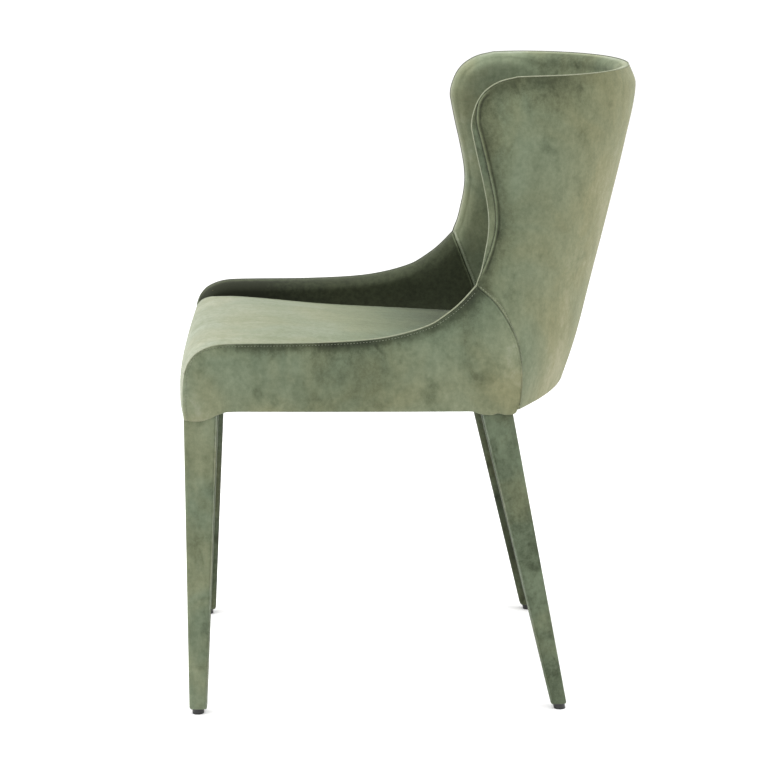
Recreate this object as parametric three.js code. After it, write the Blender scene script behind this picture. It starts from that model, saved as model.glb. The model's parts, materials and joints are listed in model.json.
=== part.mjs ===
// Upholstered wing-back dining chair, built as the pieces it is assembled from.
// Millimetres, +Z up. The origin is on the floor, under the middle of the chair.
// The chair faces -Y, so its left side (a sitter's left) is +X.
import * as THREE from 'three';

// ---------------------------------------------------------------- driving dimensions
const SEAT_HALF = 203; // half width of the seat cushion between the arms
const PANEL_BOTTOM = 424.5; // lower edge of the upholstered body
const TOP = 861; // highest point of the back
const ARC = 280; // length given to a quarter of the plan curve, wing to spine

const CLOTH = 2.2; // covers, lining and facings
const FACING = 1.2; // thickness of the strip that closes a panel's free edge
const PLY_FROM = 11; // depth of the plywood and of the back frame under the outer face
const PLY_TO = 22;
const PAD_FROM = 5.2; // outer padding lies between cover and frame
const PAD_TO = 8.6;
const ARM_DEPTH = 27; // outer face of the arm to the back of its inner lining
const BACK_EDGE_DEPTH = 31; // thickness of the back behind its lining, at the wing edge
const BACK_CROWN = 15; // and how much more it is in the middle

const RAIL_BOTTOM = 431.5;
const RAIL_TOP = 464;
const STRAP = 2; // webbing thickness
const STRAP_WIDTH = 50;
const SEAT_FRONT_HEIGHT = 494; // along the arms, before the crown
const SEAT_REAR_HEIGHT = 473;
const SEAT_CROWN = 9;
const FOAM_BOTTOM = 468;
const NOSE_FOAM = 13; // foam in front of the front rail
const UNDER_COVER = 4; // wadding between the seat cover and its foam

const LEG_TOP = 424.5;
const SLEEVE_BOTTOM = 9;
const LEG_CLOTH = 2.4;
const TUBE_WALL = 2;
const PLATE = { from: 424.9, to: 428.7 };
const BOLT_RADIUS = 4;
const BOLT_HOLE = 4.6;
const BOLT_TOP = 452;
const BOLT_HEAD = { radius: 7, height: 3.5 };
const GLIDE_RADIUS = 8;
const GAP = 0.3; // between touching pieces

// A leg's square section is given by its edges at the top and at the foot.
const FRONT_LEG = {
  top: { x: [185, 231], y: [-304.5, -257.5] },
  foot: { x: [198.5, 223.5], y: [-304.5, -279.5] },
  bolt: [168, -240],
  plate: { x: [156, 226], y: [-293, -228] },
  block: { x: [149, 184.5], y: [-276.5, -224] },
};
const REAR_LEG = {
  top: { x: [186, 230], y: [87, 131] },
  foot: { x: [200.5, 223.5], y: [188.5, 211] },
  bolt: [168, 70],
  plate: { x: [156, 226], y: [58, 128] },
  block: { x: [149, 184.5], y: [54, 98.5] },
};

// ---------------------------------------------------------------- materials
const velvet = { color: 0x8a9273, roughness: 0.9, metalness: 0 };
const lining = { color: 0x7b8468, roughness: 0.9, metalness: 0 };
const foam = { color: 0xe4dcc0, roughness: 0.95, metalness: 0 };
const plywood = { color: 0xc6a26e, roughness: 0.65, metalness: 0 };
const steel = { color: 0x2b2c2d, roughness: 0.45, metalness: 0.6 };
const zinc = { color: 0xb9bcc0, roughness: 0.35, metalness: 0.9 };
const webbing = { color: 0x2f2a26, roughness: 0.9, metalness: 0 };
const felt = { color: 0x1d1d1d, roughness: 0.95, metalness: 0 };
const plastic = { color: 0x121212, roughness: 0.5, metalness: 0 };

const chair = new THREE.Group();

function add(name, geometry, look) {
  const mesh = new THREE.Mesh(geometry, new THREE.MeshStandardMaterial(look));
  mesh.name = name;
  chair.add(mesh);
  return mesh;
}

// ---------------------------------------------------------------- outer form
// A smooth value over height, through [height, value] knots.
function profile(...knots) {
  const slope = (i) => {
    const a = knots[Math.max(i - 1, 0)];
    const b = knots[Math.min(i + 1, knots.length - 1)];
    return (b[1] - a[1]) / (b[0] - a[0]);
  };
  return (height) => {
    const z = THREE.MathUtils.clamp(height, knots[0][0], knots.at(-1)[0]);
    let i = 0;
    while (i < knots.length - 2 && z > knots[i + 1][0]) i += 1;
    const [z0, v0] = knots[i];
    const [z1, v1] = knots[i + 1];
    const run = z1 - z0;
    const t = (z - z0) / run;
    const rise = v0 * (1 + 2 * t) * (1 - t) ** 2 + v1 * t * t * (3 - 2 * t);
    return rise + run * t * (1 - t) * (slope(i) * (1 - t) - slope(i + 1) * t);
  };
}

// The plan at each height: straight sides, then a half oval round the back.
const halfWidth = profile(
  [420, 231], [475, 236], [520, 231], [592, 220], [670, 210], [760, 207], [TOP, 184],
);
const ovalStart = profile(
  [425, 138], [470, 141], [511, 137], [557, 119], [600, 104], [700, 110], [800, 135], [TOP, 158],
);
const rear = profile(
  [424, 219], [488, 238.5], [570, 258.5], [667, 281.5], [759, 302], [833, 315], [TOP, 305],
);
const pointed = profile([425, 2.3], [520, 1.6], [600, 1.15], [680, 1], [TOP, 1]);

// A point of the body: s runs backwards along the plan, 0 where the oval starts.
function bodyPoint(side, s, z, depth) {
  const half = halfWidth(z) - depth;
  const start = ovalStart(z);
  if (s <= 0) return new THREE.Vector3(side * half, start + s, z);
  const turn = (s / ARC) * (Math.PI / 2);
  const reach = rear(z) - start - depth;
  const back = start + reach * Math.sin(turn) ** pointed(z);
  return new THREE.Vector3(side * half * Math.cos(turn), back, z);
}

// ---------------------------------------------------------------- panel outlines, as [y, z]
const JOIN = [81.5, 590]; // arm, wing and outer back meet here
const BACK_SEAM = [
  [138.5, PANEL_BOTTOM + 2.5], [142.5, 462], [142, 486], [137.5, 511], [127.5, 536], [115, 557],
  [102.5, 573], JOIN,
];
const ARM_NOSE = [
  [-302.5, PANEL_BOTTOM + 0.6], [-304, 454], [-301.5, 478], [-295.5, 494], [-284.5, 506],
];
const ARM_TOP = [
  [-284.5, 506], [-265.5, 514.5], [-243.5, 517.3], [-135.5, 518], [-59.5, 521.5],
  [-16.5, 528.5], [20.5, 540], [40, 551.8], [59.5, 567], JOIN,
];
const WING_EDGE = [
  JOIN, [91, 634], [96, 674], [93.5, 698], [82.5, 755], [75.5, 790], [77, 811], [84, 829],
  [94.5, 842],
];
const WING_TOP = [[94.5, 842], [112, 852.5], [136, 858.5]];

function outline(points) {
  return new THREE.SplineCurve(points.map(([a, b]) => new THREE.Vector2(a, b)));
}

// Fill between four edges that share their corners.
function patch(edges) {
  const at = (curve, t) => curve.getPointAt(THREE.MathUtils.clamp(t, 0, 1));
  const corner = [at(edges.low, 0), at(edges.low, 1), at(edges.high, 0), at(edges.high, 1)];
  return (u, v) => {
    const a = at(edges.from, v).multiplyScalar(1 - u).addScaledVector(at(edges.to, v), u);
    const b = at(edges.low, u).multiplyScalar(1 - v).addScaledVector(at(edges.high, u), v);
    const c = corner[0].clone().multiplyScalar((1 - u) * (1 - v));
    c.addScaledVector(corner[1], u * (1 - v));
    c.addScaledVector(corner[2], (1 - u) * v);
    c.addScaledVector(corner[3], u * v);
    return a.add(b).sub(c);
  };
}

const armPatch = patch({
  from: outline(ARM_NOSE),
  to: outline(BACK_SEAM),
  low: outline([ARM_NOSE[0], BACK_SEAM[0]]),
  high: outline(ARM_TOP),
});

const alongPlan = ([y, z]) => [y - ovalStart(z), z];
const backPatch = patch({
  from: outline([...BACK_SEAM, ...WING_EDGE.slice(1)].map(alongPlan)),
  to: outline([[ARC, PANEL_BOTTOM], [ARC, TOP]]),
  low: outline([alongPlan(BACK_SEAM[0]), [ARC, PANEL_BOTTOM]]),
  high: outline([...WING_TOP.map(alongPlan), [60, TOP - 1], [ARC, TOP]]),
});

const armPoint = (side) => (u, v, depth) => {
  const { x: y, y: z } = armPatch(u, v);
  return new THREE.Vector3(side * (halfWidth(z) - depth), y, z);
};

// u runs from one wing (0) past the spine (1) to the other wing (2).
function backPoint(u, v, depth) {
  const side = u > 1 ? -1 : 1;
  const { x: s, y: z } = backPatch(u > 1 ? 2 - u : u, v);
  return bodyPoint(side, s, z, depth);
}

function backDepth(u, v) {
  const across = Math.sin((Math.PI / 2) * Math.min(u, 2 - u));
  return BACK_EDGE_DEPTH + BACK_CROWN * Math.sin(Math.PI * v) ** 0.7 * across;
}

// ---------------------------------------------------------------- solids
// A closed body between two grids of the same size, with its faces turned outwards.
function closedSheet(outer, inner, columns, rows) {
  const positions = [];
  const index = [];
  const width = columns + 1;
  const count = width * (rows + 1);
  for (const face of [outer, inner]) {
    for (let j = 0; j <= rows; j += 1) {
      for (let i = 0; i <= columns; i += 1) positions.push(...face(i / columns, j / rows).toArray());
    }
  }
  const quad = (a, b, c, d) => index.push(a, b, c, a, c, d);
  for (let j = 0; j < rows; j += 1) {
    for (let i = 0; i < columns; i += 1) {
      const k = j * width + i;
      quad(k, k + 1, k + width + 1, k + width);
      quad(count + k, count + k + width, count + k + width + 1, count + k + 1);
    }
  }
  for (let i = 0; i < columns; i += 1) {
    const far = rows * width + i;
    quad(i, count + i, count + i + 1, i + 1);
    quad(far, far + 1, count + far + 1, count + far);
  }
  for (let j = 0; j < rows; j += 1) {
    const k = j * width;
    const far = k + columns;
    quad(k, k + width, count + k + width, count + k);
    quad(far, count + far, count + far + width, far + width);
  }
  return turnedOut(positions, index);
}

function turnedOut(positions, index) {
  const at = (i) => new THREE.Vector3().fromArray(positions, 3 * i);
  let volume = 0;
  for (let i = 0; i < index.length; i += 3) {
    volume += at(index[i]).dot(at(index[i + 1]).cross(at(index[i + 2])));
  }
  if (volume < 0) index.reverse();
  const geometry = new THREE.BufferGeometry();
  geometry.setAttribute('position', new THREE.Float32BufferAttribute(positions, 3));
  geometry.setIndex(index);
  return geometry;
}

// A layer of a panel: point(u, v, depth) between two depths, over part of the panel.
function layer(point, [u0, u1], [v0, v1], from, to, columns, rows) {
  const depthAt = (depth, u, v) => (typeof depth === 'function' ? depth(u, v) : depth);
  const face = (depth) => (i, j) => {
    const u = THREE.MathUtils.lerp(u0, u1, i);
    const v = THREE.MathUtils.lerp(v0, v1, j);
    return point(u, v, depthAt(depth, u, v));
  };
  return closedSheet(face(from), face(to), columns, rows);
}

// A plate or block: a plan outline from one height to another, with round holes.
function block(points, from, to, holes = []) {
  const shape = new THREE.Shape(points.map(([x, y]) => new THREE.Vector2(x, y)));
  for (const [x, y] of holes) {
    const hole = new THREE.Path();
    hole.absarc(x, y, BOLT_HOLE, 0, Math.PI * 2, true);
    shape.holes.push(hole);
  }
  const options = { depth: to - from, bevelEnabled: false, curveSegments: 8 };
  const solid = new THREE.ExtrudeGeometry(shape, options);
  solid.translate(0, 0, from);
  return solid;
}

function rectangle([x0, x1], [y0, y1]) {
  return [[x0, y0], [x1, y0], [x1, y1], [x0, y1]];
}

// A plan outline on either side of the chair, still running the same way round.
function mirrored(points, side) {
  const moved = points.map(([x, y]) => [side * x, y]);
  return side > 0 ? moved : moved.reverse();
}

// ---------------------------------------------------------------- seat frame
const SIDES = [['left', 1], ['right', -1]];
const LEGS = [['front', FRONT_LEG], ['rear', REAR_LEG]];

function seatFrame() {
  const across = [
    ['front_rail', rectangle([-SEAT_HALF, SEAT_HALF], [-295, -277])],
    ['rear_rail', rectangle([-184.5, 184.5], [99, 117])],
  ];
  for (const [name, plan] of across) add(name, block(plan, RAIL_BOTTOM, RAIL_TOP), plywood);
  for (const [sideName, side] of SIDES) {
    const rail = mirrored(rectangle([185, SEAT_HALF], [-276.5, 117]), side);
    add(`${sideName}_side_rail`, block(rail, RAIL_BOTTOM, RAIL_TOP), plywood);
    for (const [end, leg] of LEGS) {
      const corner = mirrored(rectangle(leg.block.x, leg.block.y), side);
      const bolt = [side * leg.bolt[0], leg.bolt[1]];
      add(`${end}_${sideName}_corner_block`, block(corner, RAIL_BOTTOM, RAIL_TOP, [bolt]), plywood);
    }
  }
  const firstStrap = -235;
  const strapPitch = 92;
  for (let i = 0; i < 4; i += 1) {
    const strap = new THREE.BoxGeometry(2 * SEAT_HALF, STRAP_WIDTH, STRAP);
    strap.translate(0, firstStrap + strapPitch * i, RAIL_TOP + GAP + STRAP / 2);
    add(`seat_webbing_${i + 1}`, strap, webbing);
  }
  const notched = [
    [0, -294], [146, -294], [146, -221], [200, -221], [200, 51], [146, 51], [146, 101],
    [198, 101], [198, 133], [161, 160], [117, 181], [62, 198], [0, 206],
  ];
  const whole = [...notched, ...mirrored(notched.slice(1, -1), -1)];
  add('dust_cover', block(whole, RAIL_BOTTOM - 1.8, RAIL_BOTTOM - 0.6), felt);
}

// ---------------------------------------------------------------- legs
// Points round a square with generous corners, for a leg's edges moved in by an inset.
function legRing(edges, z, inset, side) {
  const corners = 5;
  const [x0, x1] = edges.x;
  const [y0, y1] = edges.y;
  const radius = 0.24 * (x1 - x0) - inset / 2;
  const ring = [];
  for (let k = 0; k < 4; k += 1) {
    const cx = (k === 0 || k === 3 ? x1 - inset - radius : x0 + inset + radius);
    const cy = (k < 2 ? y1 - inset - radius : y0 + inset + radius);
    for (let i = 0; i < corners; i += 1) {
      const turn = (Math.PI / 2) * (k + i / (corners - 1));
      ring.push(new THREE.Vector3(side * (cx + radius * Math.cos(turn)), cy + radius * Math.sin(turn), z));
    }
  }
  return ring;
}

// A tube open at both ends, from an outer and an inner pair of rings.
function tube(outerLow, outerHigh, innerLow, innerHigh) {
  const loops = [outerLow, outerHigh, innerHigh, innerLow];
  const n = outerLow.length;
  const positions = loops.flat().flatMap((p) => p.toArray());
  const index = [];
  for (let k = 0; k < 4; k += 1) {
    const a = k * n;
    const b = ((k + 1) % 4) * n;
    for (let i = 0; i < n; i += 1) {
      const j = (i + 1) % n;
      index.push(a + i, a + j, b + j, a + i, b + j, b + i);
    }
  }
  return turnedOut(positions, index);
}

function legEdges(leg, z) {
  const t = (LEG_TOP - z) / (LEG_TOP - SLEEVE_BOTTOM);
  const mix = (axis, i) => THREE.MathUtils.lerp(leg.top[axis][i], leg.foot[axis][i], t);
  return { x: [mix('x', 0), mix('x', 1)], y: [mix('y', 0), mix('y', 1)] };
}

function legTube(leg, side, from, to, outer, inner) {
  const ring = (z, inset) => legRing(legEdges(leg, z), z, inset, side);
  return tube(ring(from, outer), ring(to, outer), ring(from, inner), ring(to, inner));
}

// A short round foot whose two flat faces are level, leaning with its leg.
function glide(leg, side) {
  const centre = (z) => {
    const { x, y } = legEdges(leg, z);
    return [(side * (x[0] + x[1])) / 2, (y[0] + y[1]) / 2];
  };
  const top = SLEEVE_BOTTOM - GAP;
  const [x0, y0] = centre(0);
  const [x1, y1] = centre(top);
  const foot = new THREE.CylinderGeometry(GLIDE_RADIUS, GLIDE_RADIUS, top, 20);
  foot.rotateX(Math.PI / 2);
  const lean = new THREE.Matrix4().makeShear(0, 0, 0, 0, (x1 - x0) / top, (y1 - y0) / top);
  foot.translate(0, 0, top / 2);
  foot.applyMatrix4(lean);
  foot.translate(x0, y0, 0);
  return foot;
}

function bolt(x, y) {
  const seat = PLATE.from - GAP;
  const points = [
    [0, seat - BOLT_HEAD.height], [BOLT_HEAD.radius, seat - BOLT_HEAD.height], [BOLT_HEAD.radius, seat],
    [BOLT_RADIUS, seat], [BOLT_RADIUS, BOLT_TOP], [0, BOLT_TOP],
  ];
  const solid = new THREE.LatheGeometry(points.map(([r, z]) => new THREE.Vector2(r, z)), 12);
  solid.rotateX(Math.PI / 2);
  solid.translate(x, y, 0);
  return solid;
}

function legs() {
  for (const [sideName, side] of SIDES) {
    for (const [end, leg] of LEGS) {
      const name = `${end}_${sideName}`;
      const tubeInset = LEG_CLOTH + GAP;
      const tubeTop = PLATE.from - GAP;
      const boltAt = [side * leg.bolt[0], leg.bolt[1]];
      add(`${name}_leg_sleeve`, legTube(leg, side, SLEEVE_BOTTOM, LEG_TOP, 0, LEG_CLOTH), velvet);
      const wall = legTube(leg, side, SLEEVE_BOTTOM + 3, tubeTop, tubeInset, tubeInset + TUBE_WALL);
      add(`${name}_leg_tube`, wall, steel);
      const flange = mirrored(rectangle(leg.plate.x, leg.plate.y), side);
      add(`${name}_leg_plate`, block(flange, PLATE.from, PLATE.to, [boltAt]), steel);
      add(`${name}_leg_bolt`, bolt(...boltAt), zinc);
      add(`${name}_glide`, glide(leg, side), plastic);
    }
  }
}

// ---------------------------------------------------------------- arms
const EDGE = 0.01; // share of a panel kept clear along its seams

function arms() {
  for (const [sideName, side] of SIDES) {
    const point = armPoint(side);
    const inFromEdge = [0.026, 1 - EDGE];
    const liningTo = ARM_DEPTH + CLOTH;
    const cover = layer(point, inFromEdge, [0, 0.95], 0, CLOTH, 12, 4);
    const pad = layer(point, [0.03, 0.96], [0.08, 0.9], PAD_FROM, PAD_TO, 10, 3);
    const panel = layer(point, [0.04, 0.93], [0.1, 0.87], PLY_FROM, PLY_TO, 10, 3);
    const inside = layer(point, inFromEdge, [0.05, 0.95], ARM_DEPTH, liningTo, 12, 4);
    add(`${sideName}_side_cover`, cover, velvet);
    add(`${sideName}_arm_pad`, pad, foam);
    add(`${sideName}_arm_panel`, panel, plywood);
    add(`${sideName}_arm_lining`, inside, lining);
    add(`${sideName}_arm_facing`, armFacing(side), velvet);
  }
}

// The strip over the arm's edge, from the foot of the nose up to the wing.
function armFacing(side) {
  const edge = new THREE.CurvePath();
  edge.add(outline(ARM_NOSE));
  edge.add(outline(ARM_TOP));
  const end = 0.985;
  const face = (inset) => (u, v) => {
    const at = edge.getPointAt(u * end);
    const along = edge.getTangentAt(u * end);
    const y = at.x + along.y * inset;
    const z = at.y - along.x * inset;
    const depth = v * (ARM_DEPTH + CLOTH);
    return new THREE.Vector3(side * (halfWidth(z) - depth), y, z);
  };
  return closedSheet(face(0), face(FACING), 20, 1);
}

// ---------------------------------------------------------------- back
const BACK_COLUMNS = 20;
const BACK_ROWS = 11;
const COLUMN = (2 - 2 * EDGE) / BACK_COLUMNS;
const JOIN_SHARE = 0.41; // share of the panel's front edge below the arm

function back() {
  const wide = [EDGE, 2 - EDGE];
  const high = [0.004, 0.991];
  add('outer_back_cover', layer(backPoint, wide, high, 0, CLOTH, BACK_COLUMNS, BACK_ROWS), velvet);
  const padded = [EDGE + COLUMN, 2 - EDGE - COLUMN];
  const columns = BACK_COLUMNS - 2;
  const pad = layer(backPoint, padded, [0.03, 0.88], PAD_FROM, PAD_TO, columns, BACK_ROWS);
  add('outer_back_pad', pad, foam);
  backFrame();
  const foamTo = (u, v) => backDepth(u, v) - 2;
  const liningTo = (u, v) => backDepth(u, v) + CLOTH;
  const inner = [0.1, 0.89];
  add('back_foam', layer(backPoint, padded, inner, PLY_TO + 4, foamTo, columns, BACK_ROWS), foam);
  const inside = layer(backPoint, wide, [0.09, 0.991], backDepth, liningTo, BACK_COLUMNS, BACK_ROWS);
  add('back_lining', inside, lining);
  for (const [sideName, side] of SIDES) add(`${sideName}_wing_facing`, wingFacing(side), velvet);
  add('top_facing', topFacing(), velvet);
}

function backFrame() {
  const postFrom = EDGE + 0.25 * COLUMN;
  const postTo = EDGE + 0.8 * COLUMN;
  const railFrom = EDGE + COLUMN;
  for (const [sideName, side] of SIDES) {
    const across = [postFrom, postTo].map((u) => (side > 0 ? u : 2 - u));
    const post = layer(backPoint, across, [0.03, 0.9], PLY_FROM, PLY_TO, 3, 14);
    add(`${sideName}_wing_post`, post, plywood);
  }
  for (const [name, from] of [['back_bottom_rail', 0.03], ['lumbar_rail', 0.4], ['top_rail', 0.83]]) {
    const height = [from, from + 0.08];
    const rail = layer(backPoint, [railFrom, 2 - railFrom], height, PLY_FROM, PLY_TO, BACK_COLUMNS - 2, 2);
    add(name, rail, plywood);
  }
  for (const [name, from] of [['left', 0.62], ['middle', 0.95], ['right', 1.28]]) {
    const strap = layer(backPoint, [from, from + 0.1], [0.04, 0.9], PLY_TO + 1.2, PLY_TO + 2.8, 2, 10);
    add(`back_webbing_${name}`, strap, webbing);
  }
}

// The strip round a wing's front edge, from the arm up to the rounded corner.
function wingFacing(side) {
  const face = (outset) => (t, across) => {
    const v = THREE.MathUtils.lerp(JOIN_SHARE, 0.995, t);
    const point = backPoint(side > 0 ? 0 : 2, v, across * (BACK_EDGE_DEPTH + CLOTH));
    point.y -= outset;
    return point;
  };
  return closedSheet(face(0.4), face(-0.8), 14, 1);
}

// The strip along the top edge, wing to wing.
function topFacing() {
  const lift = (outset) => (u, v) => {
    const across = THREE.MathUtils.lerp(0.02, 1.98, u);
    const depth = v * (backDepth(across, 1) + CLOTH);
    const point = backPoint(across, 1, depth);
    point.z += outset;
    return point;
  };
  return closedSheet(lift(1), lift(-0.8), BACK_COLUMNS, 1);
}

// ---------------------------------------------------------------- seat cushion
const seatFront = (x) => -315 + 10 * (x / 235) ** 2;
const seatRear = (x) => 130 + 62 * (1 - (x / SEAT_HALF) ** 2);

function seatTop(x, y) {
  const t = (y + 270) / 460;
  const along = Math.sin(Math.PI * THREE.MathUtils.clamp(0.15 + 0.75 * t, 0, 1));
  const crown = SEAT_CROWN * (1 - (x / SEAT_HALF) ** 4) * along;
  return THREE.MathUtils.lerp(SEAT_FRONT_HEIGHT, SEAT_REAR_HEIGHT, t) + crown;
}

// The cover's line from the foot of the front, over the nose, to the back of the seat.
function seatLine(x) {
  const front = seatFront(x);
  const back = seatRear(x);
  const points = [[front, PANEL_BOTTOM + 1], [front + 1, 450], [front + 2, 474], [front + 9, 487]];
  for (const t of [0.07, 0.16, 0.3, 0.5, 0.75, 1]) {
    const y = THREE.MathUtils.lerp(front, back, t);
    points.push([y, seatTop(x, y)]);
  }
  return outline(points);
}

function seatPoint(u, v, depth) {
  const x = THREE.MathUtils.lerp(-SEAT_HALF, SEAT_HALF, u);
  const line = seatLine(x);
  const at = line.getPointAt(v);
  const along = line.getTangentAt(v);
  return new THREE.Vector3(x, at.x + along.y * depth, at.y - along.x * depth);
}

function seat() {
  const columns = 8;
  const rows = 18;
  add('seat_cover', layer(seatPoint, [0, 1], [0, 1], 0, CLOTH, columns, rows), velvet);
  const upTheNose = 2 / rows; // share of the line that lies in front of the rail
  const under = (u, v) => {
    const x = THREE.MathUtils.lerp(8 - SEAT_HALF, SEAT_HALF - 8, u);
    const front = seatFront(x) + NOSE_FOAM;
    const climb = Math.min(v / upTheNose, 1);
    const back = Math.max((v - upTheNose) / (1 - upTheNose), 0);
    const z = THREE.MathUtils.lerp(PANEL_BOTTOM + 5, FOAM_BOTTOM, climb);
    return new THREE.Vector3(x, THREE.MathUtils.lerp(front, seatRear(x) - 2, back), z);
  };
  const over = (u, v) => {
    const across = THREE.MathUtils.lerp(0.02, 0.98, u);
    return seatPoint(across, THREE.MathUtils.lerp(0.01, 0.99, v), CLOTH + UNDER_COVER);
  };
  add('seat_foam', closedSheet(over, under, columns, rows), foam);
}

seatFrame();
legs();
arms();
back();
seat();

export default chair;
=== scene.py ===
# %% [markdown]
# # A velvet wing-back dining chair
# The chair is a plywood and steel frame, foam, and a set of sewn velvet panels pulled over it.
# The frame is loaded first and stays as it is. What is made here is the cloth: every panel
# is cut to the same seams as the frame, so each one lands exactly where its hidden twin lies.

# %% Load the frame
import bpy
import bmesh
import json
import math
import numpy as np
from mathutils import Matrix, Vector


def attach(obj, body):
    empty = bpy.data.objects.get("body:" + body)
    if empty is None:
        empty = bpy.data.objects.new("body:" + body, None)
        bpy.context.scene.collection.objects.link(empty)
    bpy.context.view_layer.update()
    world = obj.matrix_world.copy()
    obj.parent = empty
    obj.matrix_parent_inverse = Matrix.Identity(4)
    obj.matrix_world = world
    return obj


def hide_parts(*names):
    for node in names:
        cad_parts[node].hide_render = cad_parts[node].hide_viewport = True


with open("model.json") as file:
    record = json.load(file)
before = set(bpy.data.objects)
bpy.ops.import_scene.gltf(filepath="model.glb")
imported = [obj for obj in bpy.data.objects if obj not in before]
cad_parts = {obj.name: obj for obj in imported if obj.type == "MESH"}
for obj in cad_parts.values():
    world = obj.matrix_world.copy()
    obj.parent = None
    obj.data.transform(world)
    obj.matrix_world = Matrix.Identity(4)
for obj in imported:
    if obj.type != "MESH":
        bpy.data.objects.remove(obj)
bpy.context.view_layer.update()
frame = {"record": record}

MM = 0.001

# %% [markdown]
# ## The form under the cloth
# The body is easiest to describe level by level. At every height its plan is two straight
# sides and half an oval round the back. A few smooth curves over height give the half width,
# where the oval starts, how far back it reaches and how pointed it is. A point of any panel
# is then a distance along the plan, a height, and a depth inward from the outer face.

# %% Curves over height
ARC = 280  # length given to a quarter of the plan, wing to spine
TOP = 861
PANEL_BOTTOM = 424.5


def profile(*knots):
    """A smooth value over height through (height, value) knots."""
    heights = [k[0] for k in knots]
    values = [k[1] for k in knots]
    last = len(knots) - 1

    def slope(i):
        a, b = max(i - 1, 0), min(i + 1, last)
        return (values[b] - values[a]) / (heights[b] - heights[a])

    def at(height):
        z = min(max(height, heights[0]), heights[-1])
        i = 0
        while i < last - 1 and z > heights[i + 1]:
            i += 1
        run = heights[i + 1] - heights[i]
        t = (z - heights[i]) / run
        rise = values[i] * (1 + 2 * t) * (1 - t) ** 2 + values[i + 1] * t * t * (3 - 2 * t)
        return rise + run * t * (1 - t) * (slope(i) * (1 - t) - slope(i + 1) * t)

    return at


half_width = profile((420, 231), (475, 236), (520, 231), (592, 220), (670, 210), (760, 207), (TOP, 184))
oval_start = profile((425, 138), (470, 141), (511, 137), (557, 119), (600, 104), (700, 110), (800, 135),
                     (TOP, 158))
rear = profile((424, 219), (488, 238.5), (570, 258.5), (667, 281.5), (759, 302), (833, 315), (TOP, 305))
pointed = profile((425, 2.3), (520, 1.6), (600, 1.15), (680, 1), (TOP, 1))
OVAL_CENTRE = 0.11  # in metres, about where the oval of the back starts


def body_point(side, s, z, depth):
    """A point of the body in metres: s runs back along the plan, 0 where the oval starts."""
    half = half_width(z) - depth
    start = oval_start(z)
    if s <= 0:
        return Vector((side * half, start + s, z)) * MM
    turn = s / ARC * math.pi / 2
    reach = rear(z) - start - depth
    back = start + reach * math.sin(turn) ** pointed(z)
    return Vector((side * half * math.cos(turn), back, z)) * MM


print("plan at the arms, mm:", round(2 * half_width(500)), "wide,", round(rear(500)), "back")

# %% [markdown]
# ## Seam lines
# Upholstery is drawn by its seams. Each seam is a handful of points seen from the side,
# as (back, height), with a smooth curve through them. Two panels that meet share the curve,
# so no gap can open between them.

# %% The seams
JOIN = (81.5, 590)  # arm, wing and outer back meet here
BACK_SEAM = [(137, 428.5), (140.5, 442), (142.5, 462), (142, 482), (139.5, 500), (134.5, 519.5),
             (127.5, 535), (115.5, 555), (103, 571), JOIN]
ARM_NOSE = [(-303, 415.6), (-304.3, 437), (-304, 454), (-301.5, 478.5), (-295.5, 493.5), (-284.5, 506)]
ARM_TOP = [(-284.5, 506), (-265.5, 514.5), (-243.5, 517.3), (-135.5, 518), (-59.5, 521.5), (-16.5, 528.5),
           (20.5, 540), (40, 551.8), (59.5, 567), JOIN]
ARM_HEM = [(-303, 415.6), (-294, 413.9), (-282, 413.7), (-269, 417.4), (-258, 422.4), (-246, 425.6),
           (-200, 425.6), (-150, 425), (-19, 423.8), (60, 423.4), (78, 423), (86, 420.4), (94, 418.8),
           (103, 418.7), (109, 420.6), (114, 420), (121, 418.5), (129, 418.7), (134.5, 421.5), (137, 428.5)]
WING_EDGE = [JOIN, (88, 609), (93.5, 634), (97, 654), (98, 674), (95.5, 698), (89.5, 728), (83.2, 755),
             (77, 784), (75, 796), (77, 811), (84, 829), (94.5, 842), (112, 852.5), (136, 858.5)]
WING_SEAM = [JOIN, (87, 603.5), (94, 620), (101.5, 641.5), (106.5, 664), (106, 691), (102, 715), (95, 746),
             (88, 775), (81.5, 803), (84.8, 828), (95.3, 841.2), (112.8, 851.6), (136, 857.5)]
INNER_SEAM = [(119, 465), (112, 510), (103.5, 533), (91.5, 564), JOIN]


def course(points):
    """A smooth line through points, read by its share of the length."""
    p = np.array(points, float)
    gaps = np.linalg.norm(np.diff(p, axis=0), axis=1)
    last = len(p) - 1

    def slope(i):
        a, b = max(i - 1, 0), min(i + 1, last)
        return (p[b] - p[a]) / gaps[a:b].sum()

    dense = []
    for i in range(last):
        go, come = slope(i) * gaps[i], slope(i + 1) * gaps[i]
        for t in np.linspace(0, 1, 24, endpoint=i == last - 1):
            dense.append((2 * p[i] - 2 * p[i + 1] + go + come) * t ** 3
                         + (3 * p[i + 1] - 3 * p[i] - 2 * go - come) * t ** 2 + go * t + p[i])
    dense = np.array(dense)
    run = np.concatenate([[0], np.cumsum(np.linalg.norm(np.diff(dense, axis=0), axis=1))])

    def at(share):
        d = min(max(share, 0), 1) * run[-1]
        return np.array([np.interp(d, run, dense[:, 0]), np.interp(d, run, dense[:, 1])])

    at.length = run[-1]
    return at


def joined(first, second):
    """Two courses read as one."""
    share = first.length / (first.length + second.length)

    def at(t):
        return first(t / share) if t < share else second((t - share) / (1 - share))

    at.length = first.length + second.length
    return at


def distance_from(points):
    """A rule for the distance from a line of points."""
    line = np.array(points)
    starts, steps = line[:-1], np.diff(line, axis=0)
    squares = (steps ** 2).sum(axis=1) + 1e-12

    def at(y, z):
        toward = (y, z) - starts
        t = np.clip((toward * steps).sum(axis=1) / squares, 0, 1)
        return float(np.sqrt(((toward - t[:, None] * steps) ** 2).sum(axis=1).min()))

    return at


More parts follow.
